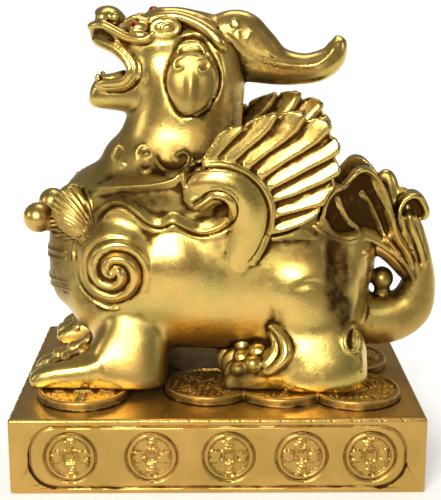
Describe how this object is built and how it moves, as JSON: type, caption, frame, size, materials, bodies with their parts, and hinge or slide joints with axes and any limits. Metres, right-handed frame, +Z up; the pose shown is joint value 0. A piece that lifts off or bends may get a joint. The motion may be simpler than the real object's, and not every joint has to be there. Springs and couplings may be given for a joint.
{
  "type": "pixiu figure",
  "caption": "Cast brass winged guardian beast standing on a block plinth with coins in relief, a desk or shelf ornament that rests by its own weight.",
  "frame": {"origin": "centre of the plinth's underside, where the figure rests", "axes": "+Z up, -X towards the beast's head, -Y towards its left side"},
  "size_m": [0.215, 0.15, 0.2283],
  "materials": {
    "pixiu": "polished cast brass with brown in the recesses",
    "plinth": "satin cast brass with brown in the recesses"
  },
  "bodies": {
    "root": {"pixiu": "pixiu", "plinth": "plinth"}
  },
  "joints": []
}
